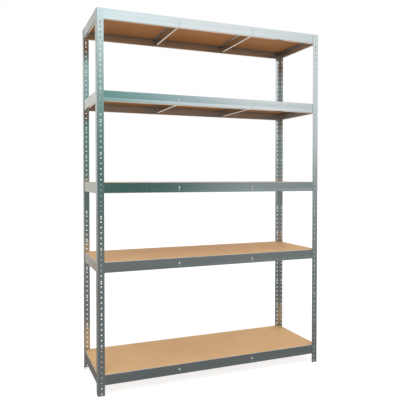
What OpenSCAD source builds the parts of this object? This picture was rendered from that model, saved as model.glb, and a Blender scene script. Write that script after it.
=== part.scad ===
// Boltless steel shelving: four perforated angle uprights, each in two lengths with a
// splice, and five levels. A level is four folded beams clipped to the uprights, two
// crossbars hooked between the long beams, and one loose board in the beams' rebate.
// Millimetres. +Z is up, the front faces -Y, and the origin is on the floor at the centre.

/* [Frame] */
// Width over the uprights
frame_w = 1205; // [900:5:1500]
// Depth over the uprights
frame_d = 395; // [300:5:600]

/* [Uprights] */
// Width of each leg of the angle
upright_leg = 33; // [30:1:40]
// Sheet thickness of the uprights
upright_sheet = 1.5; // [1:0.1:2]
// Distance between two holes in a row
hole_pitch = 25; // [24:0.5:30]
// Diameter of the holes
hole_d = 6.2; // [5.8:0.1:6.8]
// Distance from the corner of the angle to the line of holes
hole_line = 18; // [16:0.5:20]
// Number of regular holes in one length of upright
rows_per_length = 36; // [34:1:38]
// Distance from the end of a length to its first hole
end_gap = 10; // [9:0.5:12]
// Regular holes between two extra holes
extra_every = 6; // [4:1:9]
// Distance from a regular hole down to the extra hole
extra_drop = 9; // [9:0.5:12]

/* [Levels] */
// Hole row that takes the upper studs of the lowest level
level_1_row = 4; // [3:1:12]
// Hole row of the second level
level_2_row = 25; // [18:1:30]
// Hole row of the third level, above the splices
level_3_row = 40; // [40:1:48]
// Hole row of the fourth level
level_4_row = 57; // [53:1:62]
// Hole row of the top level
level_5_row = 72; // [67:1:72]

/* [Beams] */
// Height of a beam
beam_h = 50; // [48:1:60]
// Sheet thickness of beams and crossbars
beam_sheet = 1; // [0.8:0.1:1.2]
// Width of the rim round the board
rim_w = 3; // [2.8:0.1:4]
// Width of the ledge under the board, from the face of the beam
ledge_w = 14; // [12:1:20]
// Depth of the turned-down edge of the ledge
ledge_lip = 5; // [3:1:7]
// Width of the foot of the beam
foot_w = 12; // [8:1:18]
// Height of the turned-up edge of the foot
foot_lip = 5; // [3:1:8]
// Height of the crease in the face of the beam above its underside
crease_h = 17; // [16:0.5:18]
// Depth of that crease
crease_in = 0.35; // [0.2:0.05:0.5]
// Height of the beam's top above its upper stud
stud_drop = 12; // [11:0.5:13]
// Diameter of a stud
stud_d = 5.8; // [5:0.1:5.9]

/* [Boards] */
// Thickness of a board
board_t = 6; // [4:0.5:8]
// Play between board and rim, each side
board_play = 0.6; // [0.4:0.1:2]

/* [Crossbars] */
// Width of a crossbar between its side walls, measured outside
bar_w = 10; // [9:0.5:14]
// Width of each turned-out lip
bar_lip = 6; // [4:0.5:10]
// Width of the hook at each end
hook_w = 6; // [5:0.5:7]
// Length of the hook's tip, which hangs down over the face of the beam
hook_drop = 11; // [8:1:12]
// Distance from the top of the beam to its slot for the hook
slot_top = 14; // [13.5:0.5:15]
// Height of that slot
slot_h = 15; // [14:1:16]

/* [Splices] */
// Width of each leg of a splice
splice_leg = 28; // [24:1:30]
// Half the length of a splice
splice_half = 44; // [40:1:45]

/* [Hidden] */
$fn = 48;

// Small working gaps and radii
fit_gap = 0.2;
cope_gap = 0.3;
bend_steps = 4;
upright_bend = 1.75;
beam_bend = 1.6;
rim_bend = 0.9;
crease_bend = 1.5;
crease_step = 1.2;
stud_proud = 0.3;
stud_chamfer = 0.6;
through = 2;
slot_play = 0.5;

// Distance from the top of the slot down to the root of the hook's tongue
hook_root = 7;

// Derived sizes
upright_length = hole_pitch * (rows_per_length - 1) + 2 * end_gap;
face_in = upright_sheet + fit_gap;
stud_reach = face_in + stud_proud;
bar_x = frame_w / 6;
bar_floor = -beam_h + foot_lip + cope_gap;
bar_h = -board_t - bar_floor;
slot_floor = -slot_top - slot_h;
long_start = face_in + 2 * cope_gap;
side_start = face_in + beam_sheet + crease_in + cope_gap;
ledge_end = face_in + ledge_w + cope_gap;
ledge_under = board_t + beam_sheet + ledge_lip;
level_rows = [level_1_row, level_2_row, level_3_row, level_4_row, level_5_row];
levels = [1, 2, 3, 4, 5];

// Height of hole row n above the floor. The rows restart at the joint of the two lengths.
function row_z(n) =
    n <= rows_per_length
    ? end_gap + hole_pitch * (n - 1)
    : upright_length + end_gap + hole_pitch * (n - 1 - rows_per_length);

// Height of the top of level k
function level_top(k) = row_z(level_rows[k - 1]) + stud_drop;

// A folded sheet is the strip of one thickness that follows a centre line
function unit(v) = v / norm(v);
function turned(v) = [-v.y, v.x];

// Arc that rounds the corner at b of the line a, b, c
function bend(a, b, c, r) =
    let (
        to_a = unit(a - b),
        to_c = unit(c - b),
        half = acos(to_a * to_c) / 2,
        centre = b + unit(to_a + to_c) * r / sin(half),
        first = b + to_a * r / tan(half) - centre,
        last = b + to_c * r / tan(half) - centre
    )
    [for (k = [0:bend_steps]) centre + r * unit(first * (1 - k / bend_steps) + last * k / bend_steps)];

// Centre line p with its inner corners rounded by the radii in r
function rounded(p, r) = [
    p[0],
    for (i = [1:len(p) - 2]) each bend(p[i - 1], p[i], p[i + 1], r[i - 1]),
    p[len(p) - 1]
];

// Point beside vertex i of the line p, at the distance d to its left
function beside(p, i, d) =
    let (
        last = len(p) - 1,
        before = turned(unit(i == 0 ? p[1] - p[0] : p[i] - p[i - 1])),
        after = turned(unit(i == last ? p[last] - p[last - 1] : p[i + 1] - p[i])),
        middle = unit(before + after)
    )
    p[i] + middle * d / (middle * before);

// Outline of a sheet of thickness t along the centre line p
function strip(p, t) = concat(
    [for (i = [0:len(p) - 1]) beside(p, i, t / 2)],
    [for (i = [len(p) - 1:-1:0]) beside(p, i, -t / 2)]
);

// Angle with its corner at the origin and its legs along +X and +Y
function angle_outline(leg, t) = strip(rounded([[leg, t / 2], [t / 2, t / 2], [t / 2, leg]], [upright_bend]), t);

// Section of a beam: x is inwards from its face, y is up from its top. The sheet runs from
// the foot's lip up the face with its crease, over the rim and out along the ledge.
function beam_line() =
    let (h = beam_sheet / 2)
    rounded(
        [
            [foot_w - h, -beam_h + foot_lip],
            [foot_w - h, -beam_h + h],
            [h, -beam_h + h],
            [h + crease_in, -beam_h + crease_h],
            [h, -beam_h + crease_h + crease_step],
            [h, -h],
            [rim_w - h, -h],
            [rim_w - h, -board_t - h],
            [ledge_w - h, -board_t - h],
            [ledge_w - h, -board_t - beam_sheet - ledge_lip]
        ],
        [beam_bend, beam_bend, crease_bend, crease_bend, rim_bend, rim_bend, rim_bend, beam_bend]
    );

// Section of a crossbar: x across, y up from the underside of the board. Its floor runs just
// above the lips of the beams' feet.
function bar_line() =
    let (h = beam_sheet / 2, w = bar_w / 2 - h)
    rounded(
        [[-w - bar_lip, -h], [-w, -h], [-w, h - bar_h], [w, h - bar_h], [w, -h], [w + bar_lip, -h]],
        [beam_bend, beam_bend, beam_bend, beam_bend]
    );

// Side of a hook's tongue: x is inwards from the corner, y is up from the top of the level.
// From the end plate it slopes out through the slot and hangs down over the beam's face.
function tongue_line() =
    let (h = beam_sheet / 2, inside = side_start + h, outside = face_in - fit_gap / 2 - h)
    rounded(
        [
            [inside, through - slot_top - hook_root],
            [inside, -slot_top - hook_root],
            [outside, slot_floor],
            [outside, slot_floor - hook_drop]
        ],
        [beam_bend, beam_bend]
    );

// Moves what is drawn at the front left corner to the corner on side sx, sy
module at_corner(sx, sy) {
    translate([sx * frame_w / 2, sy * frame_d / 2, 0])
        mirror([sx > 0 ? 1 : 0, 0, 0])
            mirror([0, sy > 0 ? 1 : 0, 0])
                children();
}

// Repeats what is drawn on the front leg of an angle on its side leg too
module on_both_legs() {
    children();
    mirror([1, -1, 0]) children();
}

// Drill for one hole in the front leg of an upright
module leg_hole(z) {
    translate([hole_line, -through, z])
        rotate([-90, 0, 0])
            cylinder(d = hole_d, h = upright_sheet + 2 * through);
}

// One length of upright, standing at the height base
module upright(base) {
    top = base + upright_length;
    color("lightsteelblue")
        difference() {
            translate([0, 0, base])
                linear_extrude(upright_length)
                    polygon(angle_outline(upright_leg, upright_sheet));
            on_both_legs()
                for (row = [0:rows_per_length - 1])
                    leg_hole(base + end_gap + hole_pitch * row);
            on_both_legs()
                for (row = [2:extra_every:rows_per_length - 1])
                    leg_hole(top - end_gap - hole_pitch * row - extra_drop);
        }
}

// Stud that stands out of a sheet at the origin towards -Y and fills an upright's hole
module stud(root) {
    rotate([90, 0, 0]) {
        translate([0, 0, -root])
            cylinder(d = stud_d, h = root + stud_reach - stud_chamfer);
        translate([0, 0, stud_reach - stud_chamfer])
            cylinder(d1 = stud_d, d2 = stud_d - 2 * stud_chamfer, h = stud_chamfer);
    }
}

// Angle inside an upright that joins its two lengths, with two studs a leg in each length
module splice() {
    color("lightslategray")
        union() {
            translate([face_in, face_in, upright_length - splice_half])
                linear_extrude(2 * splice_half)
                    polygon(angle_outline(splice_leg, upright_sheet));
            on_both_legs()
                for (side = [-1, 1])
                    for (row = [0, 1])
                        translate([hole_line, face_in, upright_length + side * (end_gap + hole_pitch * row)])
                            stud(upright_sheet / 2);
        }
}

// Beam along X with its face towards -Y, in the frame of the corner at its start.
// It starts at the distance start from the corner, and everything further in than
// cope_from is cut back to the distance cope_to.
module beam(span, start, cope_from, cope_to) {
    difference() {
        union() {
            translate([start, face_in, 0])
                rotate([90, 0, 90])
                    linear_extrude(span - 2 * start)
                        polygon(strip(beam_line(), beam_sheet));
            for (x = [hole_line, span - hole_line])
                for (drop = [stud_drop, stud_drop + hole_pitch])
                    translate([x, face_in, -drop])
                        stud(beam_sheet / 2);
        }
        for (x = [start - through, span - cope_to])
            translate([x, face_in + cope_from, -beam_h - through])
                cube([cope_to - start + through, ledge_w + through, beam_h + 2 * through]);
    }
}

// Long beam, with a slot for the hook of each crossbar
module long_beam() {
    color("silver")
        difference() {
            beam(frame_w, long_start, beam_sheet + cope_gap / 2, face_in + rim_w + cope_gap);
            for (side = [-1, 1])
                translate([
                    frame_w / 2 + side * bar_x - hook_w / 2 - slot_play,
                    face_in - through,
                    slot_floor
                ])
                    cube([hook_w + 2 * slot_play, beam_sheet + 2 * through, slot_h]);
        }
}

// Short beam, which runs between the faces of the long beams
module short_beam() {
    color("lightgray")
        beam(frame_d, side_start, rim_w + cope_gap / 2, ledge_end);
}

module front_beam(k) {
    translate([-frame_w / 2, -frame_d / 2, level_top(k)]) long_beam();
}

module rear_beam(k) {
    mirror([0, 1, 0]) front_beam(k);
}

module left_beam(k) {
    translate([-frame_w / 2, -frame_d / 2, level_top(k)]) mirror([1, -1, 0]) short_beam();
}

module right_beam(k) {
    mirror([1, 0, 0]) left_beam(k);
}

// End plate of a crossbar at the front, turned up from its floor, with its hook. The tongue
// of the hook is cut out of the plate, which leaves the window below its root.
module bar_end() {
    plate_w = bar_w - 2 * beam_sheet + 2 * fit_gap;
    plate_low = bar_floor + beam_sheet - fit_gap;
    tip = slot_floor - hook_drop;
    difference() {
        translate([-plate_w / 2, side_start, plate_low])
            cube([plate_w, beam_sheet, -ledge_under - cope_gap - plate_low]);
        translate([-hook_w / 2, side_start - through, tip])
            cube([hook_w, beam_sheet + 2 * through, -slot_top - hook_root - tip]);
    }
    translate([-hook_w / 2, 0, 0])
        rotate([90, 0, 90])
            linear_extrude(hook_w)
                polygon(strip(tongue_line(), beam_sheet));
}

// Crossbar on side sx of level k, cut back at its ends to pass under the ledges
module crossbar(k, sx) {
    color("gainsboro")
        translate([sx * bar_x, -frame_d / 2, level_top(k)])
            union() {
                difference() {
                    translate([0, frame_d - side_start, -board_t])
                        rotate([90, 0, 0])
                            linear_extrude(frame_d - 2 * side_start)
                                polygon(strip(bar_line(), beam_sheet));
                    for (y = [side_start - through, frame_d - ledge_end])
                        translate([-bar_w - bar_lip, y, -ledge_under - cope_gap])
                            cube([2 * (bar_w + bar_lip), ledge_end - side_start + through, ledge_under + through]);
                }
                bar_end();
                translate([0, frame_d, 0]) mirror([0, 1, 0]) bar_end();
            }
}

// Loose board, flush with the rims of level k
module board(k) {
    inset = face_in + rim_w + board_play;
    color("burlywood")
        translate([-frame_w / 2 + inset, -frame_d / 2 + inset, level_top(k) - board_t])
            cube([frame_w - 2 * inset, frame_d - 2 * inset, board_t]);
}

at_corner(-1, -1) upright(0);  // upright_front_left_lower
at_corner(-1, -1) upright(upright_length);  // upright_front_left_upper
at_corner(1, -1) upright(0);  // upright_front_right_lower
at_corner(1, -1) upright(upright_length);  // upright_front_right_upper
at_corner(-1, 1) upright(0);  // upright_rear_left_lower
at_corner(-1, 1) upright(upright_length);  // upright_rear_left_upper
at_corner(1, 1) upright(0);  // upright_rear_right_lower
at_corner(1, 1) upright(upright_length);  // upright_rear_right_upper
at_corner(-1, -1) splice();  // splice_front_left
at_corner(1, -1) splice();  // splice_front_right
at_corner(-1, 1) splice();  // splice_rear_left
at_corner(1, 1) splice();  // splice_rear_right
for (k = levels) {
    front_beam(k);
    rear_beam(k);
    left_beam(k);
    right_beam(k);
    crossbar(k, -1);
    crossbar(k, 1);
    board(k);
}
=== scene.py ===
"""Boltless steel shelving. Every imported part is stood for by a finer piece: folded sheet with
round bends, rolled holes and pressed studs, and fibreboards with eased sawn edges. Metres."""

import math
from itertools import product

import bmesh
import bpy
import numpy as np
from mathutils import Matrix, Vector


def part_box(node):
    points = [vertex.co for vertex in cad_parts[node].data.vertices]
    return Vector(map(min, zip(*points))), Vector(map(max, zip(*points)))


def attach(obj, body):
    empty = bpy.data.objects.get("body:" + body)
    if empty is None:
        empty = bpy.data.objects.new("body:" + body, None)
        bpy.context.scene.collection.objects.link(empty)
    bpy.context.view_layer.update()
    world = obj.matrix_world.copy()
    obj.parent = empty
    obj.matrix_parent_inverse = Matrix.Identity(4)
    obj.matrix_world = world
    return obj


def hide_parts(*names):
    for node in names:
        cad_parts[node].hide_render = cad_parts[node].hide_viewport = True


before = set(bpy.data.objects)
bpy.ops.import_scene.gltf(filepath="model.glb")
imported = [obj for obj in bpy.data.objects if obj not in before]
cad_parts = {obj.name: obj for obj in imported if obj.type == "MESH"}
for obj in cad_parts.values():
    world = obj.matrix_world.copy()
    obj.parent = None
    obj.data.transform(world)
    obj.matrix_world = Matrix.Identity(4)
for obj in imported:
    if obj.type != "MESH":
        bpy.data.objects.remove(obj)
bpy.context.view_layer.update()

MM = 0.001

# Uprights and splices
LEG = 33 * MM
ANGLE_SHEET = 1.5 * MM
ANGLE_BEND = 1.75 * MM
SPLICE_LEG = 28 * MM
HOLE_PITCH = 25 * MM
HOLE_RADIUS = 3.1 * MM
HOLE_LINE = 18 * MM
END_GAP = 10 * MM
ROWS = 36
EXTRA_FIRST = 2
EXTRA_EVERY = 6
EXTRA_DROP = 9 * MM

# Beams, crossbars and boards
BEAM_H = 50 * MM
SHEET = 1 * MM
RIM = 3 * MM
LEDGE = 14 * MM
LEDGE_LIP = 5 * MM
FOOT = 12 * MM
FOOT_LIP = 5 * MM
CREASE_H = 17 * MM
CREASE_IN = 0.35 * MM
BEAM_BEND = 1.6 * MM
RIM_BEND = 0.9 * MM
CREASE_BEND = 110 * MM
STUD_DROP = 12 * MM
STUD_RADIUS = 2.9 * MM
STUD_WALL = 0.7 * MM
STUD_DOME = 1.1 * MM
STUD_ROOT = 0.35 * MM
STUD_PROUD = 0.3 * MM
BOARD_T = 6 * MM
BOARD_EASE = 0.5 * MM
BAR_W = 10 * MM
BAR_LIP = 6 * MM
HOOK_W = 6 * MM
HOOK_DROP = 11 * MM
HOOK_ROOT = 7 * MM
HOOK_FLAT = 0.3 * MM
HOOK_BEND = 1.6 * MM
HOOK_FLARE = 0.75 * MM
HOOK_LEAD = 4 * MM
LEAD_BEND = 6 * MM
PLATE_BEND = 1.1 * MM
PLATE_FLAT = 0.9 * MM
SLOT_TOP = 14 * MM
SLOT_H = 15 * MM
SLOT_PLAY = 0.5 * MM
SLOT_CORNER = 1.2 * MM
SLOT_ROLL = 0.3 * MM

# Gaps between the folded parts
FIT_GAP = 0.2 * MM
COPE_GAP = 0.3 * MM
PLATE_GAP = 0.1 * MM
FACE_IN = ANGLE_SHEET + FIT_GAP
STUD_REACH = FACE_IN + STUD_PROUD
LEDGE_UNDER = BOARD_T + SHEET + LEDGE_LIP
LEDGE_END = FACE_IN + LEDGE + COPE_GAP
LONG_START = FACE_IN + 2 * COPE_GAP
SIDE_START = FACE_IN + SHEET + CREASE_IN + COPE_GAP
NOTCH = -LEDGE_UNDER - COPE_GAP
FLOOR_END = SIDE_START + SHEET / 2 + PLATE_BEND + PLATE_FLAT
BAR_FLOOR = -BEAM_H + FOOT_LIP + COPE_GAP
SLOT_FLOOR = -SLOT_TOP - SLOT_H

# How finely the sheet is made
BURR = 0.12 * MM
ROLL = 0.2 * MM
ROLL_STEPS = 3
ARC_STEPS = 5
STUD_CELL = 9 * MM
SLOT_CELL = 12 * MM
SHARP_ANGLE = math.radians(38)
WELD = 1e-6
TINY = 1e-9

# Material slots of a piece of sheet metal
PLAIN, STUD, SHELTERED = range(3)


def unit(v):
    return v / np.linalg.norm(v)


# ---------------------------------------------------------------- folded sheet


def folded(corners, steps=6):
    """Centre line through corners, each (x, y, bend radius), and where each straight lies.

    Returns the points and, for each straight between two corners, the index of its segment.
    """
    points = [np.array(corners[0][:2])]
    straights = []
    for before, here, after in zip(corners, corners[1:], corners[2:]):
        straights.append(len(points) - 1)
        corner = np.array(here[:2])
        radius = here[2]
        if radius == 0:
            points.append(corner)
            continue
        to_a = unit(np.array(before[:2]) - corner)
        to_c = unit(np.array(after[:2]) - corner)
        half = math.acos(np.clip(to_a @ to_c, -1, 1)) / 2
        centre = corner + unit(to_a + to_c) * radius / math.sin(half)
        first = corner + to_a * radius / math.tan(half) - centre
        last = corner + to_c * radius / math.tan(half) - centre
        turn = math.pi - 2 * half
        count = max(2, math.ceil(steps * turn / (math.pi / 2)))
        for k in range(count + 1):
            share = k / count
            blend = first * math.sin((1 - share) * turn) + last * math.sin(share * turn)
            points.append(centre + blend / math.sin(turn))
    straights.append(len(points) - 1)
    points.append(np.array(corners[-1][:2]))
    return np.array(points), straights


def line_normals(line):
    """Unit vectors to the left of a centre line, stretched at its corners to keep the thickness."""
    steps = np.diff(line, axis=0)
    left = np.stack([-steps[:, 1], steps[:, 0]], axis=1)
    left /= np.linalg.norm(left, axis=1)[:, None]
    before = np.vstack([left[:1], left])
    after = np.vstack([left, left[-1:]])
    middle = before + after
    middle /= np.linalg.norm(middle, axis=1)[:, None]
    return middle / np.sum(middle * before, axis=1)[:, None]


class Metal:
    """Collects the faces of one piece of sheet metal, each with its material slot."""

    def __init__(self, right_slot=PLAIN):
        self.points = []
        self.faces = []
        self.slots = []
        self.right_slot = right_slot

    def face(self, *corners, slot=PLAIN):
        start = len(self.points)
        self.slots.append(slot)
        self.points.extend(corners)
        self.faces.append(tuple(range(start, start + len(corners))))

    def sheet(self, mid, normal, thickness, solid, features=None, joined=(), root=False):
        """Adds a sheet over a grid of points.

        mid and normal are grids of points and unit normals, solid(i, j) says which cells are
        there, features(i, j) gives what fills a cell in place of its plain faces, and joined
        holds the boundary edges, as pairs of grid points, that another sheet closes. The rim
        is eased, apart from the first row where that is a root inside another sheet.
        """
        rows, columns = mid.shape[:2]
        half = np.full((rows, columns), thickness / 2)
        half[[0, -1], :] -= BURR
        half[:, [0, -1]] -= BURR
        if root:
            half[0] = thickness / 2
        left = mid + normal * half[:, :, None]
        right = mid - normal * half[:, :, None]

        def there(i, j):
            return 0 <= i < rows - 1 and 0 <= j < columns - 1 and solid(i, j)

        for i in range(rows - 1):
            for j in range(columns - 1):
                if not there(i, j):
                    continue
                cell = ((i, j), (i + 1, j), (i + 1, j + 1), (i, j + 1))
                feature = features(i, j) if features else None
                if feature:
                    feature(self, [left[c] for c in cell], [right[c] for c in cell])
                else:
                    self.face(*[left[c] for c in cell])
                    self.face(*[right[c] for c in cell], slot=self.right_slot)
                sides = (
                    (cell[0], cell[1], there(i, j - 1)),
                    (cell[1], cell[2], there(i + 1, j)),
                    (cell[2], cell[3], there(i, j + 1)),
                    (cell[3], cell[0], there(i - 1, j)),
                )
                for a, b, neighbour in sides:
                    if not neighbour and (a, b) not in joined and (b, a) not in joined:
                        self.face(left[a], left[b], right[b], right[a])


def outline(a, b, radius):
    """Rounded rectangle of half sizes a and b as four arcs, from the corner at (-a, -b)."""
    arcs = []
    for quadrant in range(4):
        start = math.pi + quadrant * math.pi / 2
        cx = (a - radius) * (-1, 1, 1, -1)[quadrant]
        cy = (b - radius) * (-1, -1, 1, 1)[quadrant]
        for k in range(ARC_STEPS + 1):
            angle = start + k / ARC_STEPS * math.pi / 2
            arcs.append((cx + radius * math.cos(angle), cy + radius * math.sin(angle)))
    return arcs


def rings(metal, place, sizes, slot=PLAIN):
    """Skins a row of outlines, each (a, b, radius, height), and returns the first and last."""
    loops = []
    for a, b, radius, height in sizes:
        loops.append([place(x, y, height) for x, y in outline(a, b, radius)])
    for low, high in zip(loops, loops[1:]):
        for k in range(len(low)):
            n = (k + 1) % len(low)
            if np.linalg.norm(low[n] - low[k]) + np.linalg.norm(high[n] - high[k]) > TINY:
                metal.face(low[k], low[n], high[n], high[k], slot=slot)
    return loops[0], loops[-1]


def surround(metal, corners, loop):
    """Fills the flat between a cell's four corners and a loop of four arcs inside it."""
    for quadrant in range(4):
        first = quadrant * (ARC_STEPS + 1)
        last = first + ARC_STEPS
        for k in range(first, last):
            metal.face(corners[quadrant], loop[k], loop[k + 1])
        following = (last + 1) % len(loop)
        ahead = corners[(quadrant + 1) % 4]
        if np.linalg.norm(loop[last] - loop[following]) > TINY:
            metal.face(corners[quadrant], loop[last], loop[following], ahead)
        else:
            metal.face(corners[quadrant], loop[last], ahead)


def on_cell(left, right, x, y):
    """Places feature points on the flat cell: x along the line and y along the length."""
    middle = [(a + b) / 2 for a, b in zip(left, right)]
    along = unit(middle[1] - middle[0])
    up = unit(middle[3] - middle[0])
    normal = unit(left[0] - right[0])
    origin = middle[0] + along * x + up * y
    return lambda px, py, height: origin + along * px + up * py + normal * height


def rolled(a, b, radius, sign, size, thickness):
    """Outlines of a rounded edge round an opening, from the skin down into it."""
    sizes = []
    for k in range(ROLL_STEPS + 1):
        angle = k / ROLL_STEPS * math.pi / 2
        grow = size * (1 - math.sin(angle))
        sunk = size * (1 - math.cos(angle))
        sizes.append((a + grow, b + grow, radius + grow, sign * (thickness / 2 - sunk)))
    return sizes


def opening(a, b, radius, x, y, thickness, left_roll=ROLL, right_roll=BURR):
    """Feature: a hole or slot. The left skin is rolled in by the punch, the right one is crisp."""

    def feature(metal, left, right):
        place = on_cell(left, right, x, y)
        sizes = rolled(a, b, radius, 1, left_roll, thickness)
        sizes += reversed(rolled(a, b, radius, -1, right_roll, thickness))
        first, last = rings(metal, place, sizes)
        surround(metal, left, first)
        surround(metal, right, last)

    return feature


def stud(x, y, thickness):
    """Feature: a stud pressed out of the sheet to the left, hollow from the right."""
    half = thickness / 2

    def shell(radius, reach, base):
        """Outlines of one skin, from the eased root up the wall and over the dome."""
        sizes = []
        for angle in (0, 30, 60, 90):
            turn = math.radians(angle)
            grow = STUD_ROOT * (1 - math.sin(turn))
            sizes.append((radius + grow, base + STUD_ROOT * (1 - math.cos(turn))))
        ball = (radius**2 + STUD_DOME**2) / (2 * STUD_DOME)
        rim = math.asin(radius / ball)
        for share in (1.0, 0.8, 0.6, 0.4, 0.2):
            turn = rim * share
            sizes.append((ball * math.sin(turn), reach - ball * (1 - math.cos(turn))))
        return [(r, r, r, h) for r, h in sizes]

    def feature(metal, left, right):
        place = on_cell(left, right, x, y)
        outer = (STUD_RADIUS, STUD_REACH + half, half, left)
        inner = (STUD_RADIUS - STUD_WALL, STUD_REACH - STUD_WALL, -half, right)
        for radius, reach, base, corners in (outer, inner):
            first, last = rings(metal, place, shell(radius, reach, base), slot=STUD)
            for a, b in zip(last, last[1:] + last[:1]):
                if np.linalg.norm(a - b) > TINY:
                    metal.face(a, b, place(0, 0, reach), slot=STUD)
            surround(metal, corners, first)

    return feature


def sweep(line, stations, to_world, outer=None):
    """Grids of points and normals of a centre line swept straight along its stations.

    outer is a row of the line and the way that its left skin has to face.
    """
    normals = line_normals(line)
    mid = np.array([[to_world(x, y, s) for s in stations] for x, y in line])
    tip = np.array([[to_world(x + nx, y + ny, s) for s in stations]
                    for (x, y), (nx, ny) in zip(line, normals)])
    normal = tip - mid
    if outer and normal[outer[0], 0] @ outer[1] < 0:
        normal = -normal
    return mid, normal


def stand_in(name, node, body, mesh):
    """Puts a finished mesh in the scene in place of a CAD node."""
    obj = bpy.data.objects.new(name, mesh)
    bpy.context.scene.collection.objects.link(obj)
    weighted = obj.modifiers.new("flat_faces_stay_flat", "WEIGHTED_NORMAL")
    weighted.keep_sharp = True
    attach(obj, body)
    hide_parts(node)


def piece(name, node, metal, material):
    """Makes the collected faces into one closed piece of the frame body."""
    mesh = bpy.data.meshes.new(name)
    mesh.from_pydata([tuple(p) for p in metal.points], [], metal.faces)
    mesh.polygons.foreach_set("material_index", metal.slots)
    work = bmesh.new()
    work.from_mesh(mesh)
    bmesh.ops.remove_doubles(work, verts=work.verts, dist=WELD)
    bmesh.ops.recalc_face_normals(work, faces=work.faces)
    for f in work.faces:
        f.smooth = True
    for e in work.edges:
        e.smooth = not e.is_manifold or e.calc_face_angle(0) < SHARP_ANGLE
    work.to_mesh(mesh)
    work.free()
    mesh.materials.append(material)
    for extra in (stud_zinc_painted_glint, sheltered_zinc)[:max(metal.slots)]:
        mesh.materials.append(extra)
    stand_in(name, node, "frame", mesh)


# ---------------------------------------------------------------- materials


class Nodes:
    """Short calls for building a node tree."""

    def __init__(self, tree):
        self.tree = tree
        tree.nodes.clear()

    def new(self, kind, inputs=None, **settings):
        node = self.tree.nodes.new(kind)
        for key, value in settings.items():
            setattr(node, key, value)
        for key, value in (inputs or {}).items():
            if isinstance(value, bpy.types.NodeSocket):
                self.tree.links.new(value, node.inputs[key])
            else:
                node.inputs[key].default_value = value
        return node

    def mapped(self, vector, scale):
        return self.new("ShaderNodeMapping", {"Vector": vector, "Scale": scale}).outputs[0]

    def noise(self, vector, scale, detail=3.0, roughness=0.5):
        inputs = {"Vector": vector, "Scale": scale, "Detail": detail, "Roughness": roughness}
        return self.new("ShaderNodeTexNoise", inputs).outputs["Fac"]

    def ramp(self, value, low, high, to_low=0.0, to_high=1.0):
        inputs = {"Value": value, "From Min": low, "From Max": high, "To Min": to_low, "To Max": to_high}
        return self.new("ShaderNodeMapRange", inputs).outputs[0]

    def math(self, operation, a, b=0.0):
        return self.new("ShaderNodeMath", {0: a, 1: b}, operation=operation).outputs[0]

    def mix(self, share, a, b, blend="MIX"):
        node = self.new("ShaderNodeMix", {"Factor": share}, data_type="RGBA", blend_type=blend)
        for socket, value in ((node.inputs[6], a), (node.inputs[7], b)):
            if isinstance(value, bpy.types.NodeSocket):
                self.tree.links.new(value, socket)
            else:
                socket.default_value = (*value, 1.0)
        return node.outputs[2]


def new_material(name):
    material = bpy.data.materials.new(name)
    material.use_nodes = True
    return material, Nodes(material.node_tree)


def galvanised(name, stretch, gloss, pale, metallic=1.0):
    """Zinc on rolled sheet: soft streaks along the rolling direction and a faint spangle.

    stretch is smallest along the streaks, gloss is the roughness of the smoothest spots and
    pale is the share of the lightest grey in the colour.
    """
    material, n = new_material(name)
    place = n.new("ShaderNodeTexCoord").outputs["Object"]
    along = n.mapped(place, stretch)
    lines = n.noise(along, 700.0, 4.0, 0.6)
    bands = n.noise(along, 85.0, 3.0, 0.5)
    clouds = n.noise(place, 4.0, 3.0, 0.6)
    wander = n.new("ShaderNodeTexNoise", {"Vector": place, "Scale": 90.0}).outputs["Color"]
    shifted = n.new("ShaderNodeVectorMath", {0: wander}, operation="SCALE")
    shifted.inputs["Scale"].default_value = 0.006
    bent = n.new("ShaderNodeVectorMath", {0: place, 1: shifted.outputs[0]}, operation="ADD")
    cells = n.new("ShaderNodeTexVoronoi", {"Vector": bent.outputs[0], "Scale": 150.0})
    facet = n.new("ShaderNodeSeparateColor", {0: cells.outputs["Color"]}).outputs[0]

    colour = n.mix(n.ramp(clouds, 0.35, 0.7), (0.62, 0.66, 0.67), (0.68, 0.695, 0.695))
    colour = n.mix(n.ramp(facet, 0.0, 1.0, 0.0, 0.16), colour, (0.78, 0.79, 0.80))
    colour = n.mix(n.ramp(bands, 0.35, 0.7, 0.0, 0.35), colour, (0.56, 0.60, 0.61))
    colour = n.mix(n.ramp(lines, 0.45, 0.75, 0.0, 0.2), colour, (0.80, 0.82, 0.82))
    colour = n.mix(pale, colour, (0.86, 0.87, 0.87))

    rough = n.ramp(facet, 0.0, 1.0, gloss, gloss + 0.025)
    rough = n.math("ADD", rough, n.ramp(bands, 0.3, 0.7, 0.0, 0.04))
    rough = n.math("ADD", rough, n.ramp(lines, 0.3, 0.7, 0.0, 0.02))
    height = n.math("ADD", n.math("MULTIPLY", lines, 0.35), n.math("MULTIPLY", bands, 0.8))
    height = n.math("ADD", height, n.math("MULTIPLY", facet, 0.05))
    bump = n.new("ShaderNodeBump", {"Height": height, "Strength": 0.10, "Distance": 0.0003})
    shader = n.new("ShaderNodeBsdfPrincipled", {
        "Base Color": colour, "Roughness": rough, "Metallic": metallic, "Normal": bump.outputs[0],
    })
    n.new("ShaderNodeOutputMaterial", {"Surface": shader.outputs[0]})
    return material


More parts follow.
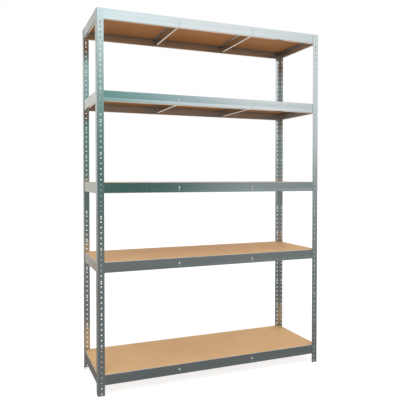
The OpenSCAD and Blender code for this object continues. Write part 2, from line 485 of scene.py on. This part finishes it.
def fibreboard(name):
    """Pressed wood fibre: flecks and soft clouds, painted shade on a browner underside, darker sawn
    edges.
    """
    material, n = new_material(name)
    place = n.new("ShaderNodeTexCoord").outputs["Object"]
    fibres = n.noise(n.mapped(place, (0.35, 1.0, 1.0)), 1400.0, 5.0, 0.65)
    flecks = n.noise(place, 420.0, 3.0, 0.6)
    clouds = n.noise(place, 7.0, 4.0, 0.55)
    layers = n.noise(n.mapped(place, (1.0, 1.0, 9.0)), 300.0, 4.0, 0.6)
    facing = n.new("ShaderNodeNewGeometry").outputs["Normal"]
    upward = n.new("ShaderNodeSeparateXYZ", {0: facing}).outputs[2]
    edge = n.ramp(n.math("ABSOLUTE", upward), 0.85, 0.35)
    painted_underside_shade = n.ramp(upward, 0.0, -0.6)

    colour = n.mix(n.ramp(clouds, 0.3, 0.7), (0.650, 0.388, 0.186), (0.735, 0.448, 0.222))
    colour = n.mix(n.ramp(fibres, 0.5, 0.78, 0.0, 0.40), colour, (0.40, 0.235, 0.11))
    colour = n.mix(n.ramp(flecks, 0.58, 0.75, 0.0, 0.35), colour, (0.86, 0.59, 0.33))
    # painted shade: faces that look down are mixed towards a darker, redder brown
    colour = n.mix(n.math("MULTIPLY", painted_underside_shade, 0.35), colour, (0.60, 0.25, 0.085))
    sawn = n.mix(n.ramp(layers, 0.35, 0.7), (0.33, 0.20, 0.10), (0.54, 0.35, 0.19))
    colour = n.mix(edge, colour, sawn)
    rough = n.math("ADD", n.ramp(clouds, 0.3, 0.7, 0.58, 0.66), n.math("MULTIPLY", edge, 0.2))
    height = n.math("ADD", fibres, n.math("MULTIPLY", n.math("MULTIPLY", layers, edge), 2.0))
    bump = n.new("ShaderNodeBump", {"Height": height, "Strength": 0.25, "Distance": 0.0003})
    shader = n.new("ShaderNodeBsdfPrincipled", {
        "Base Color": colour, "Roughness": rough, "Normal": bump.outputs[0],
    })
    shader.inputs["Specular IOR Level"].default_value = 0.35
    n.new("ShaderNodeOutputMaterial", {"Surface": shader.outputs[0]})
    return material


along_x = galvanised("zinc_along_x", (0.02, 1.0, 1.0), 0.13, 0.0)
along_y = galvanised("zinc_along_y", (1.0, 0.02, 1.0), 0.15, 0.0)
along_z = galvanised("zinc_along_z", (1.0, 1.0, 0.02), 0.17, 0.1)
# The studs' paler, more diffuse zinc is a painted glint, so that the studs show as bright dots.
stud_zinc_painted_glint = galvanised("pressed_zinc_painted_glint", (1.0, 1.0, 1.0), 0.4, 0.9, 0.4)
sheltered_zinc = galvanised("sheltered_zinc", (1.0, 9.0, 9.0), 0.3, 0.0)
fibre = fibreboard("pressed_fibre")


# ---------------------------------------------------------------- uprights and splices

corner_low, corner_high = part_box("upright_front_left_lower")
frame_left = corner_low.x
frame_front = corner_low.y
frame_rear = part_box("upright_rear_left_lower")[1].y
frame_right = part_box("upright_front_right_lower")[1].x
upright_length = corner_high.z - corner_low.z
width = frame_right - frame_left
depth = frame_rear - frame_front
bar_reach = width / 6


def corner_frame(end, side):
    """Maps x and y, measured inwards from a corner of the unit, and a height to the scene.

    Returns the mapping and the way out of that corner along x.
    """
    x0, sx = (frame_left, 1) if side == "left" else (frame_right, -1)
    y0, sy = (frame_front, 1) if end == "front" else (frame_rear, -1)

    def to_corner(x, y, z):
        return np.array((x0 + sx * x, y0 + sy * y, z))

    return to_corner, np.array((-sx, 0, 0))


def angle_line(leg):
    """Centre line of an angle from the end of one leg round the bend to the end of the other.

    Returns the line and the rows of it that are the two legs.
    """
    h = ANGLE_SHEET / 2
    corners = [(leg, h, 0), (leg - BURR, h, 0), (h, h, ANGLE_BEND), (h, leg - BURR, 0), (h, leg, 0)]
    line, straights = folded(corners)
    return line, (straights[1], straights[2])


def along_leg(line, legs, row, at):
    """How far along a leg's row of the line the line of holes lies."""
    x, y = line[row]
    return abs(x - at) if row == legs[0] else abs(y - at)


def hole_heights(base):
    """Centres of the holes of one length of upright, from the bottom up."""
    regular = [base + END_GAP + HOLE_PITCH * row for row in range(ROWS)]
    top = base + upright_length - END_GAP
    extra = [top - HOLE_PITCH * row - EXTRA_DROP for row in range(EXTRA_FIRST, ROWS, EXTRA_EVERY)]
    return sorted(regular + extra)


def build_upright(end, side, length):
    node = f"upright_{end}_{side}_{length}"
    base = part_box(node)[0].z
    line, legs = angle_line(LEG)
    holes = hole_heights(base)
    between = [(a + b) / 2 for a, b in zip(holes, holes[1:])]
    edges = [base + BURR, *between, base + upright_length - BURR]
    stations = [base, *edges, base + upright_length]

    def holes_here(i, j):
        if i not in legs or not 1 <= j <= len(holes):
            return None
        reach = along_leg(line, legs, i, HOLE_LINE)
        height = holes[j - 1] - stations[j]
        return opening(HOLE_RADIUS, HOLE_RADIUS, HOLE_RADIUS, reach, height, ANGLE_SHEET)

    metal = Metal()
    to_corner, outwards = corner_frame(end, side)
    # the left skin is the outer one, which the punch met first
    mid, normal = sweep(line, stations, to_corner, (-1, outwards))
    metal.sheet(mid, normal, ANGLE_SHEET, lambda i, j: True, holes_here)
    piece(f"{length}_{end}_{side}_upright", node, metal, along_z)


def build_splice(end, side):
    node = f"splice_{end}_{side}"
    low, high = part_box(node)
    line, legs = angle_line(SPLICE_LEG)
    joint = (low.z + high.z) / 2
    rises = (END_GAP, END_GAP + HOLE_PITCH)
    studs = sorted(joint + turn * rise for turn in (-1, 1) for rise in rises)
    between = [(a + b) / 2 for a, b in zip(studs, studs[1:])]
    stations = [low.z, low.z + BURR, *between, high.z - BURR, high.z]

    def studs_here(i, j):
        if i not in legs or not 1 <= j <= len(studs):
            return None
        reach = along_leg(line, legs, i, HOLE_LINE - FACE_IN)
        return stud(reach, studs[j - 1] - stations[j], ANGLE_SHEET)

    metal = Metal()
    to_corner, outwards = corner_frame(end, side)
    mid, normal = sweep(line + FACE_IN, stations, to_corner, (-1, outwards))
    metal.sheet(mid, normal, ANGLE_SHEET, lambda i, j: True, studs_here)
    piece(f"{end}_{side}_splice", node, metal, along_z)


# ---------------------------------------------------------------- beams


def beam_line():
    """Centre line of a beam from the foot's lip up the face, over the rim and out on the ledge."""
    h = SHEET / 2
    return folded([
        (FOOT - h, -BEAM_H + FOOT_LIP, 0),
        (FOOT - h, -BEAM_H + FOOT_LIP - BURR, 0),
        (FOOT - h, -BEAM_H + h, BEAM_BEND),
        (h, -BEAM_H + h, BEAM_BEND),
        (h + CREASE_IN, -BEAM_H + CREASE_H, CREASE_BEND),
        (h, -h, RIM_BEND),
        (RIM - h, -h, RIM_BEND),
        (RIM - h, -BOARD_T - h, RIM_BEND),
        (LEDGE - h, -BOARD_T - h, BEAM_BEND),
        (LEDGE - h, -LEDGE_UNDER + BURR, 0),
        (LEDGE - h, -LEDGE_UNDER, 0),
    ])


# The straights of that line that are called by name
FOOT_FLAT, STRIP, FACE, REBATE = 2, 3, 4, 6


def face_only(straights):
    """The face is all that reaches into the uprights at the ends of a long beam."""
    return range(straights[STRIP], straights[FACE] + 1)


def face_and_rim(straights):
    """At the ends of a short beam the foot and the ledge are cut back, the rim isn't."""
    return range(straights[FOOT_FLAT] + 1, straights[REBATE] + 1)


def build_beam(name, node, span, start, cope_to, reaching, slots, to_world, material):
    """Beam of the length span between two corners, from start in from each of them.

    Before cope_to only the reaching rows of the line are there. slots holds the middles of
    the slots for the crossbars' hooks.
    """
    line, straights = beam_line()
    end_rows = reaching(straights)
    face, strip = straights[FACE], straights[STRIP]
    cells = [at for at in (HOLE_LINE - STUD_CELL, HOLE_LINE + STUD_CELL) if at > cope_to]
    near = [start, start + BURR, cope_to, *cells]
    slot_cells = [at + side for at in slots for side in (-SLOT_CELL, SLOT_CELL)]
    stations = near + slot_cells + [span - at for at in reversed(near)]

    def solid(i, j):
        inside = stations[j] >= cope_to - TINY and stations[j + 1] <= span - cope_to + TINY
        return inside or i in end_rows

    def feature(i, j):
        low, high = stations[j], stations[j + 1]
        if i in (face, strip) and high - low < 3 * STUD_CELL:
            for at in (HOLE_LINE, span - HOLE_LINE):
                if low < at < high:
                    drop = STUD_DROP if i == face else STUD_DROP + HOLE_PITCH
                    reach = np.linalg.norm(np.array((line[i][0], -drop)) - line[i])
                    return stud(reach, at - low, SHEET)
        if i == face and high - low < 3 * SLOT_CELL:
            for at in slots:
                if low < at < high:
                    reach = abs(line[i][1] - SLOT_FLOOR - SLOT_H / 2)
                    half_width = HOOK_W / 2 + SLOT_PLAY
                    middle = (high - low) / 2
                    return opening(SLOT_H / 2, half_width, SLOT_CORNER, reach, middle, SHEET, SLOT_ROLL)
        return None

    metal = Metal(right_slot=SHELTERED)
    outwards = to_world(0, 0, 0) - to_world(1, 0, 0)
    # the left skin is the outer one, which the studs stand out of
    mid, normal = sweep(line, stations, to_world, (face, outwards))
    metal.sheet(mid, normal, SHEET, solid, feature)
    piece(name, node, metal, material)


def build_long_beam(end, level):
    node = f"beam_{end}_{level}"
    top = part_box(node)[1].z
    y0, sy = (frame_front, 1) if end == "front" else (frame_rear, -1)
    slots = [width / 2 - bar_reach, width / 2 + bar_reach]

    def to_world(x, y, s):
        return np.array((frame_left + s, y0 + sy * (FACE_IN + x), top + y))

    cope_to = FACE_IN + RIM + COPE_GAP
    name = f"{end}_beam_{level}"
    build_beam(name, node, width, LONG_START, cope_to, face_only, slots, to_world, along_x)


def build_short_beam(side, level):
    node = f"beam_{side}_{level}"
    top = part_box(node)[1].z
    x0, sx = (frame_left, 1) if side == "left" else (frame_right, -1)

    def to_world(x, y, s):
        return np.array((x0 + sx * (FACE_IN + x), frame_front + s, top + y))

    name = f"{side}_beam_{level}"
    build_beam(name, node, depth, SIDE_START, LEDGE_END, face_and_rim, [], to_world, along_y)


# ---------------------------------------------------------------- crossbars


def build_crossbar(side, level):
    """Channel with flanges under the board and a plate with a hook turned up at each end."""
    node = f"crossbar_{side}_{level}"
    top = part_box(f"board_{level}")[1].z
    middle = (frame_left + frame_right) / 2
    centre = middle - bar_reach if side == "left" else middle + bar_reach
    h = SHEET / 2
    wall = BAR_W / 2 - h
    flange = -BOARD_T - h
    line, straights = folded([
        (-wall - BAR_LIP, flange, 0),
        (-wall - BAR_LIP + BURR, flange, 0),
        (-wall, flange, BEAM_BEND),
        (-wall, NOTCH, 0),
        (-wall, BAR_FLOOR + h, BEAM_BEND),
        (wall, BAR_FLOOR + h, BEAM_BEND),
        (wall, NOTCH, 0),
        (wall, flange, BEAM_BEND),
        (wall + BAR_LIP - BURR, flange, 0),
        (wall + BAR_LIP, flange, 0),
    ])
    first_wall, floor, last_wall = straights[3:6]
    near = [SIDE_START, FLOOR_END, LEDGE_END]
    stations = near + [depth - at for at in reversed(near)]
    end_cells, between_ledges = (0, 4), 2

    def solid(i, j):
        if j == between_ledges:
            return True
        return first_wall <= i <= last_wall and not (i == floor and j in end_cells)

    def to_world(x, y, s):
        return np.array((centre + x, frame_front + s, top + y))

    metal = Metal()
    mid, normal = sweep(line, stations, to_world)
    # the end plates close the ends of the floor
    floor_ends = [((floor, j), (floor + 1, j)) for j in (1, 4)]
    metal.sheet(mid, normal, SHEET, solid, joined=floor_ends)
    half_floor = abs(line[floor][0])
    for turn in (1, -1):
        add_end_plate(metal, to_world, half_floor, turn)
    piece(f"{side}_crossbar_{level}", node, metal, along_y)


def add_end_plate(metal, to_world, half_floor, turn):
    """Plate turned up at one end of a crossbar, with the hook's tongue cut out of it.

    The tongue slopes out through the slot, hangs down over the beam's face and flares.
    turn is 1 at the front end and -1 at the rear one.
    """
    h = SHEET / 2
    inside = SIDE_START + h
    outside = FACE_IN - FIT_GAP / 2 - h
    root = -SLOT_TOP - HOOK_ROOT
    tip = SLOT_FLOOR - HOOK_DROP
    half_plate = BAR_W / 2 - SHEET - PLATE_GAP
    start = 0 if turn > 0 else depth

    def grid(path, offsets):
        """Points and normals over a path of depths and heights, offsets across for each row."""
        tilt = line_normals(path)
        mid = np.array([[to_world(x, z, start + turn * y) for x in row]
                        for (y, z), row in zip(path, offsets)])
        tips = np.array([[to_world(x, z + dz, start + turn * (y + dy)) for x in row]
                         for (y, z), (dy, dz), row in zip(path, tilt, offsets)])
        return mid, tips - mid

    plate, straights = folded([
        (FLOOR_END, BAR_FLOOR + h, 0),
        (inside, BAR_FLOOR + h, PLATE_BEND),
        (inside, tip, 0),
        (inside, root, 0),
        (inside, NOTCH - BURR, 0),
        (inside, NOTCH, 0),
    ])
    window = straights[2]
    # the plate widens from the floor's flat over the bend
    offsets = [(-half_floor,) * 3 + (half_floor,) * 3]
    for k in range(1, len(plate)):
        grown = min(1, (k - 1) / (straights[1] - 1))
        reach = half_floor + (half_plate - half_floor) * grown
        cut = min(HOOK_W / 2, reach - 2 * BURR)
        offsets.append((-reach, BURR - reach, -cut, cut, reach - BURR, reach))
    mid, normal = grid(plate, offsets)
    joined = [((0, j), (0, j + 1)) for j in range(5)] + [((window + 1, 2), (window + 1, 3))]
    metal.sheet(mid, normal, SHEET, lambda i, j: (i, j) != (window, 2), joined=joined, root=True)

    tongue, _ = folded([
        (inside, root, 0),
        (inside, root - HOOK_FLAT, HOOK_BEND),
        (outside, SLOT_FLOOR, HOOK_BEND),
        (outside, tip + HOOK_LEAD, LEAD_BEND),
        (outside - HOOK_FLARE * (1 - BURR / HOOK_LEAD), tip + BURR, 0),
        (outside - HOOK_FLARE, tip, 0),
    ])
    half = HOOK_W / 2
    offsets = [(-half, -half, half, half)]
    offsets += [(-half, BURR - half, half - BURR, half)] * (len(tongue) - 1)
    mid, normal = grid(tongue, offsets)
    joined = [((0, j), (0, j + 1)) for j in range(3)]
    metal.sheet(mid, normal, SHEET, lambda i, j: True, joined=joined, root=True)


# ---------------------------------------------------------------- boards


def build_board(level):
    """Loose board with eased sawn edges."""
    node = f"board_{level}"
    name = f"shelf_board_{level}"
    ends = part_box(node)
    work = bmesh.new()
    corners = {}
    for at in product((0, 1), repeat=3):
        corners[at] = work.verts.new([ends[k][axis] for axis, k in enumerate(at)])
    for axis in range(3):
        for k in (0, 1):
            ring = ((0, 0), (1, 0), (1, 1), (0, 1))
            work.faces.new([corners[(*p[:axis], k, *p[axis:])] for p in ring])
    bmesh.ops.recalc_face_normals(work, faces=work.faces)
    bmesh.ops.bevel(work, geom=work.edges, offset=BOARD_EASE, segments=3, profile=0.5, affect="EDGES")
    for f in work.faces:
        f.smooth = True
    mesh = bpy.data.meshes.new(name)
    work.to_mesh(mesh)
    work.free()
    mesh.materials.append(fibre)
    stand_in(name, node, f"board_{level}_body", mesh)


for end in ("front", "rear"):
    for side in ("left", "right"):
        build_upright(end, side, "lower")
        build_upright(end, side, "upper")
        build_splice(end, side)
for level in range(1, 6):
    build_long_beam("front", level)
    build_long_beam("rear", level)
    for side in ("left", "right"):
        build_short_beam(side, level)
        build_crossbar(side, level)
    build_board(level)


# ---------------------------------------------------------------- studio


def build_floor():
    """Pale floor with a faint shadow. It is neither mirrored in the steel nor lights the boards."""
    size = 30.0
    mesh = bpy.data.meshes.new("floor")
    corners = [(-size, -size, 0), (size, -size, 0), (size, size, 0), (-size, size, 0)]
    mesh.from_pydata(corners, [], [(0, 1, 2, 3)])
    floor = bpy.data.objects.new("floor", mesh)
    bpy.context.scene.collection.objects.link(floor)
    material, n = new_material("pale_floor")
    shader = n.new("ShaderNodeBsdfPrincipled", {"Base Color": (0.32, 0.32, 0.32, 1), "Roughness": 0.9})
    shader.inputs["Specular IOR Level"].default_value = 0.0
    shader.inputs["Emission Color"].default_value = (1, 1, 1, 1)
    shader.inputs["Emission Strength"].default_value = 0.82
    n.new("ShaderNodeOutputMaterial", {"Surface": shader.outputs[0]})
    mesh.materials.append(material)
    floor.visible_glossy = False
    floor.visible_diffuse = False


def front_light(n, x, z):
    """Light from the front: pale overhead and a dim band at eye level, green right of its middle.

    high is overhead, over just above eye level, level at it and deep below.
    """
    high = n.mix(n.ramp(x, 0.18, 0.36), (1.20, 1.36, 1.40), (1.10, 1.12, 1.13))
    high = n.mix(n.ramp(x, 0.48, 0.56), high, (0.86, 0.91, 0.92))
    level = n.mix(n.ramp(x, 0.32, 0.45), (0.02, 0.12, 0.10), (0.40, 0.46, 0.46))
    level = n.mix(n.ramp(x, 0.49, 0.55), level, (0.26, 0.31, 0.31))
    level = n.mix(n.ramp(x, 0.15, 0.05), level, (0.38, 0.42, 0.43))
    deep = n.mix(n.ramp(z, -0.20, -0.30), (0.235, 0.245, 0.245), (0.155, 0.165, 0.165))
    over = n.mix(n.ramp(x, 0.38, 0.26), high, (0.13, 0.42, 0.35))
    over = n.mix(n.ramp(x, 0.24, 0.34), over, (0.25, 0.47, 0.51))
    over = n.mix(n.ramp(x, 0.15, 0.05), over, (0.38, 0.40, 0.43))

    colour = n.mix(n.ramp(z, -0.06, -0.13), level, deep)
    colour = n.mix(n.ramp(z, 0.06, 0.13), colour, over)
    # the overhead light begins lower towards the right
    slope = n.math("ADD", z, n.math("MULTIPLY", x, 0.50))
    return n.mix(n.ramp(slope, 0.32, 0.346), colour, high)


def rear_light(n, x, z):
    """Light from behind: dim brown low down, pale above and far to the left, warm on the right."""
    colour = n.mix(n.ramp(z, -0.22, -0.14), (0.19, 0.14, 0.10), (0.56, 0.51, 0.45))
    colour = n.mix(n.ramp(z, -0.08, 0.04), colour, (0.66, 0.66, 0.62))
    colour = n.mix(n.ramp(z, 0.10, 0.18), colour, (0.80, 0.81, 0.76))
    colour = n.mix(n.ramp(z, 0.24, 0.28), colour, (0.56, 0.57, 0.55))
    colour = n.mix(n.ramp(x, -0.32, -0.45), colour, (0.90, 0.92, 0.90))
    return n.mix(n.ramp(x, 0.0, 0.3), colour, (1.25, 1.02, 0.86))


def build_world():
    """Soft studio that the steel mirrors. The camera itself sees plain white.

    A direction's x points to the unit's right, y behind it and z up.
    """
    world = bpy.data.worlds.new("studio")
    bpy.context.scene.world = world
    world.use_nodes = True
    n = Nodes(world.node_tree)
    direction = n.new("ShaderNodeTexCoord").outputs["Generated"]
    x, y, z = n.new("ShaderNodeSeparateXYZ", {0: direction}).outputs

    # the backdrop ends above the floor, lower down the further it is to a side
    aside = n.math("MAXIMUM", n.math("MULTIPLY", x, 0.12), n.math("MULTIPLY", x, -0.30))
    lifted = n.math("ADD", z, aside)
    backdrop = n.math("MULTIPLY", n.ramp(y, 0.1, 0.6), n.ramp(lifted, -0.34, -0.27))
    colour = n.mix(backdrop, front_light(n, x, z), rear_light(n, x, z))
    # light from the ground in front, for the undersides of the boards
    ground = n.math("MULTIPLY", n.ramp(z, -0.50, -0.62), n.ramp(y, 0.1, -0.5))
    colour = n.mix(ground, colour, (1.02, 0.96, 0.92))
    seen = n.new("ShaderNodeLightPath").outputs["Is Camera Ray"]
    colour = n.mix(seen, colour, (1.0, 1.0, 1.0))
    background = n.new("ShaderNodeBackground", {"Color": colour, "Strength": 1.0})
    n.new("ShaderNodeOutputWorld", {"Surface": background.outputs[0]})


def build_key_lamp():
    """Large soft lamp high in front on the left, which isn't mirrored in the steel."""
    place = Vector((-1.5, -3.0, 4.0))
    target = Vector((0, 0, 0.9))
    light = bpy.data.lights.new("key", "AREA")
    light.shape = "RECTANGLE"
    light.size = 3.0
    light.size_y = 2.0
    light.energy = 60
    lamp = bpy.data.objects.new("key", light)
    bpy.context.scene.collection.objects.link(lamp)
    lamp.location = place
    lamp.rotation_euler = (target - place).to_track_quat("-Z", "Y").to_euler()
    lamp.visible_glossy = False
    lamp.visible_camera = False


def build_camera():
    """Camera in front and to the left of the unit, just over half way up, tipped down a degree."""
    camera = bpy.data.cameras.new("camera")
    camera.lens = 45.4
    camera.sensor_width = 36.0
    camera.shift_y = -0.027
    camera.clip_end = 100.0
    holder = bpy.data.objects.new("camera", camera)
    bpy.context.scene.collection.objects.link(holder)
    corner = Vector((frame_left, frame_front, 0.0))
    away = Vector((-0.432, -2.3195, 1.0119))
    tip_down, turn_right = math.radians(1.25), math.radians(22.09)
    holder.location = corner + away
    holder.rotation_euler = (math.radians(90) - tip_down, 0.0, -turn_right)
    bpy.context.scene.camera = holder


build_floor()
build_world()
build_key_lamp()
build_camera()
bpy.context.scene.view_settings.view_transform = "Standard"
